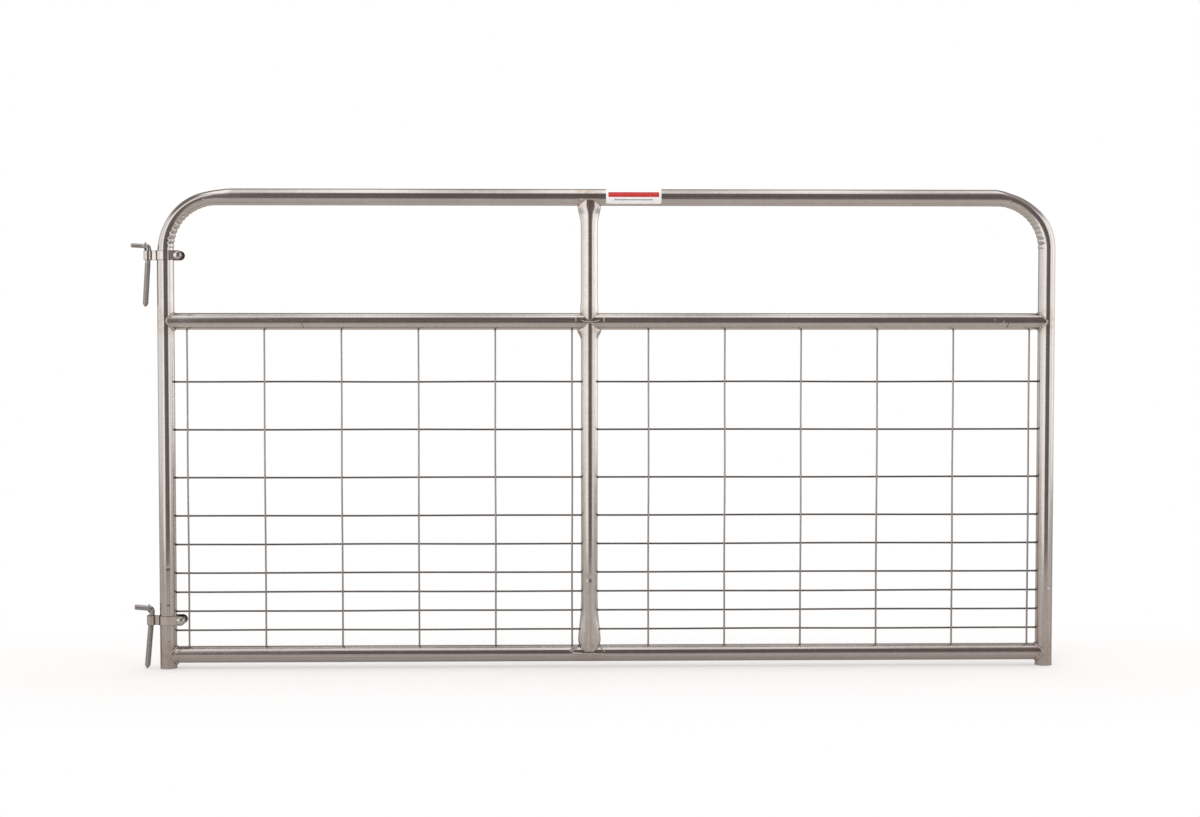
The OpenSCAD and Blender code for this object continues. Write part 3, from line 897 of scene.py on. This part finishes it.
sticker = SimpleNamespace(
    lowAngle=-51.0, thickness=0.0003, gap=0.00002, corner=0.005, rows=60, columns=60, sharp=60,
    white=rgb(0.91, 0.90, 0.898), red=rgb(0.54, 0.03, 0.03), grey=rgb(0.12, 0.115, 0.12),
    # heights between which the stripe and the line lie, and how far they stop short of the ends
    stripe=(1.2475, 1.2608, 0.006), line=(1.2392, 1.2414, 0.022), soft=0.0003,
    scuffScale=240.0, scuffEdge=(0.5, 0.75), redScuff=0.08, greyScuff=0.15,
    grimeScale=28.0, grimeEdge=(0.4, 0.8), grime=0.15, grimeColour=rgb(0.74, 0.72, 0.715),
    rough=0.32, scuffRough=0.2, relief=0.03,
)
stickerLow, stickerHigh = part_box("label")


def stickerGrid():
    # thin sheet bent round the rail: angle by row, length by column, out over the face and back under it;
    # the lower corners follow a quarter circle
    outer = tubeRadius + sticker.gap + sticker.thickness
    highAngle = math.degrees(math.asin(min(1, (stickerHigh.z - topRailZ) / outer)))
    angle = np.radians(np.linspace(sticker.lowAngle, highAngle, sticker.rows))[:, None]
    climb = (angle - angle[0]) * outer
    short = sticker.corner - np.clip(climb, 0, sticker.corner)
    inset = sticker.corner - np.sqrt(sticker.corner ** 2 - short ** 2)
    share = np.linspace(0, 1, sticker.columns)
    x = stickerLow.x + inset + (stickerHigh.x - stickerLow.x - 2 * inset) * share
    x = joined(x, x[:, ::-1], axis=1)
    deep = joined(0 * share, 0 * share + sticker.thickness)
    radius = outer - np.broadcast_to(deep, x.shape)
    points = spots(x, -radius * np.cos(angle), topRailZ + radius * np.sin(angle))
    edges = [(points[[row]] + points[[row], ::-1]) / 2 for row in (0, -1)]
    return grid(joined(edges[0], points, edges[1]))


def stickerFinish():
    # white film with a plain red stripe and a thin grey line, faint scuffs and a soft gloss
    material, shade = newTree(bpy.data.materials, "stickerFilm")
    place = shade.node("TexCoord", output=3)
    x, z = place.axis(0), place.axis(2)
    soft = sticker.soft

    def band(value, low, high):
        return value.around(low, soft) * (1 - value.around(high, soft))

    stripe, line = (
        band(z, low, high) * band(x, stickerLow.x + inset, stickerHigh.x - inset)
        for low, high, inset in (sticker.stripe, sticker.line))
    scuff = noise(shade, place, sticker.scuffScale, detail=4.0).step(*sticker.scuffEdge)
    grime = noise(shade, place, sticker.grimeScale, detail=3.0).step(*sticker.grimeEdge)
    colour = (grime * sticker.grime).mix(sticker.white, sticker.grimeColour)
    colour = (stripe * (1 - scuff * sticker.redScuff)).mix(colour, sticker.red)
    colour = (line * (1 - scuff * sticker.greyScuff)).mix(colour, sticker.grey)
    relief = scuff + grime
    bump = shade.node("Bump", {"Strength": sticker.relief, "Distance": millimetre, "Height": relief})
    surface = shade.node("BsdfPrincipled", {
        "Base Color": colour, "Roughness": sticker.rough + scuff * sticker.scuffRough, "Normal": bump})
    shade.node("OutputMaterial", {"Surface": surface})
    return material


addPiece("railSticker", [stickerGrid()], stickerFinish(), ["label"], sticker.sharp)
print("sticker made")


# camera, floor and studio

camera = SimpleNamespace(lens=56.49, sensor=36, place=(1.0291, -5.0, 0.8847), pitch=87.758, yaw=-1.34)
cameraData = bpy.data.cameras.new("photoCamera")
cameraData.lens = camera.lens
cameraData.sensor_width = camera.sensor
cameraData.sensor_fit = "HORIZONTAL"
cameraObject = addObject("photoCamera", cameraData)
cameraObject.location = camera.place
cameraObject.rotation_euler = (math.radians(camera.pitch), 0, math.radians(camera.yaw))
bpy.context.scene.camera = cameraObject

floor = SimpleNamespace(
    front=-2.2, back=7.0, side=7.0, height=-0.0005,
    colour=rgb(0.90, 0.885, 0.87), far=rgb(0.60, 0.575, 0.555), farReach=(-1.6, -0.2),
    # least share of plain white, and the distances from the gate over which it grows to all of it, as the
    # camera sees the floor and as metal mirrors it
    lift=0.4, seenReach=(0.02, 0.8), mirroredReach=(0.05, 0.35),
    # metal sees that white a little warm
    mirrored=rgb(0.98, 0.93, 0.885),
)


def rayKinds(shade):
    # 1 on rays straight from the camera, off a mirroring surface, and through a clear one
    kinds = ("Camera", "Glossy", "Transmission")
    return [shade.node("LightPath", output="Is " + kind + " Ray") for kind in kinds]


def floorFinish():
    # pale matt floor that keeps the shadow near the gate and fades to plain white away from it
    material, shade = newTree(bpy.data.materials, "paleFloor")
    depth = shade.node("TexCoord", output=3).axis(1)
    direct, glossy, through = rayKinds(shade)
    fromGate = shade.maths("ABSOLUTE", depth)
    away = fromGate.step(*floor.seenReach) * direct
    away = away + fromGate.step(*floor.mirroredReach) * (glossy + through)
    plain = away * (1 - floor.lift) + (direct + glossy + through) * floor.lift
    colour = depth.step(*floor.farReach).mix(floor.far, floor.colour)
    matt = shade.node("BsdfPrincipled", {
        "Base Color": colour, "Roughness": 1.0, "Specular IOR Level": 0.0})
    glow = shade.node("Emission", {"Color": direct.mix(floor.mirrored, white), "Strength": 1.0})
    surface = shade.node("MixShader", {0: plain, 1: matt, 2: glow})
    shade.node("OutputMaterial", {"Surface": surface})
    return material


centreX = postSpacing / 2
floorMesh = bpy.data.meshes.new("studioFloor")
floorMesh.from_pydata(
    [(centreX + x * floor.side, y, floor.height) for x, y in (
        (-1, floor.front), (1, floor.front), (1, floor.back), (-1, floor.back))], [], [(0, 1, 2, 3)])
floorMesh.materials.append(floorFinish())
addObject("studioFloor", floorMesh)

# light levels, with angles in degrees: bearings are counted right of the camera's side, rises above level
studio = SimpleNamespace(
    # boxes left and right, and the unlit room between them; behind the gate the level is 1, so that metal
    # shows the same white that the camera sees
    bearings=[
        (-180, 1.0), (-142, 1.0), (-112, 1.65), (-70, 1.75), (-45, 2.05), (-19, 2.4), (-14, 0.26),
        (39, 0.26), (44, 2.2), (60, 2.1), (64, 1.5), (70, 1.5), (74, 2.2), (90, 2.45), (122, 2.5),
        (145, 1.0), (180, 1.0)],
    aside=(34, 46), middle=(-5, 5), behind=(140, 150), behindRise=(10, 24),
    # over the room's front corners, left and right
    upper=(2.0, 0.3), upperBearing=(15, 22), upperRise=(12, 20),
    # gap over the boxes, left and right, up to the fill light
    gap=(0.38, 0.6), boxTop=30, boxSoft=6, fill=2.3, gapTop=64, gapSoft=5,
    # below level, at the sides and in front
    low=1.3, lowRise=(-14, 2), lowFront=0.85, lowFrontRise=(-30, -16),
    # three boxes hang overhead, one each lampStep across
    overhead=1.8, overheadFrom=52, fromSoft=4, overheadTo=120, toSoft=25,
    overheadHalfWidth=0.21, widthSoft=0.1, lampShare=0.55, lampStep=0.1176, lampFrom=-0.0995,
    # the unlit room is a little warm
    roomTint=rgb(1.1, 0.94, 0.94), tintLevel=(0.3, 0.9),
)


def studioWorld():
    # light by direction: white behind, soft boxes at both sides and overhead, and an unlit room in front
    world, shade = newTree(bpy.data.worlds, "studio")
    x, y, z = (shade.node("TexCoord").axis(number) for number in range(3))
    degrees = 180 / math.pi
    bearing = shade.maths("ARCTAN2", x, 0 - y) * degrees
    rise = shade.maths("ARCSINE", z) * degrees
    over = shade.maths("ARCTAN2", z, 0 - y) * degrees
    most = max(level for place, level in studio.bearings)
    stops = [(place / 360 + 0.5, rgb(*[level / most] * 3)) for place, level in studio.bearings]
    level = shade.node("ValToRGB", {0: bearing / 360 + 0.5}, stops=stops) * most
    turnedAway = shade.maths("ABSOLUTE", bearing)
    aside = turnedAway.step(*studio.aside)
    left = 1 - bearing.step(*studio.middle)
    upper, gap = (atRight + left * (atLeft - atRight) for atLeft, atRight in (studio.upper, studio.gap))
    corners = turnedAway.step(*studio.upperBearing) * (1 - aside) * rise.step(*studio.upperRise)
    level = level.towards(upper, corners)
    above = gap.towards(studio.fill, rise.around(studio.gapTop, studio.gapSoft))
    level = level.towards(above, aside * rise.around(studio.boxTop, studio.boxSoft))
    level = level.towards(studio.low, aside * (1 - rise.step(*studio.lowRise)))
    level = level.towards(studio.lowFront, (1 - aside) * (1 - rise.step(*studio.lowFrontRise)))
    overhead = over.around(studio.overheadFrom, studio.fromSoft)
    overhead = overhead * (1 - over.around(studio.overheadTo, studio.toSoft))
    across = shade.maths("ABSOLUTE", x)
    overhead = overhead * (1 - across.around(studio.overheadHalfWidth, studio.widthSoft))
    lamps = shade.maths("COSINE", (x - studio.lampFrom) * (2 * math.pi / studio.lampStep))
    level = level.towards(studio.overhead * (1 + lamps * studio.lampShare), overhead)
    tint = level.step(*studio.tintLevel).mix(studio.roomTint, white)
    direct, glossy, through = rayKinds(shade)
    behind = turnedAway.step(*studio.behind) * (1 - rise.step(*studio.behindRise))
    plain = direct + (glossy + through) * behind
    light = shade.node("Background", {"Color": tint, "Strength": level})
    ground = shade.node("Background", {"Color": white, "Strength": 1.0})
    surface = shade.node("MixShader", {0: plain, 1: light, 2: ground})
    shade.node("OutputWorld", {"Surface": surface})
    bpy.context.scene.world = world


studioWorld()
bpy.context.scene.view_settings.view_transform = "Standard"
print("camera, floor and studio set")

bpy.context.view_layer.update()
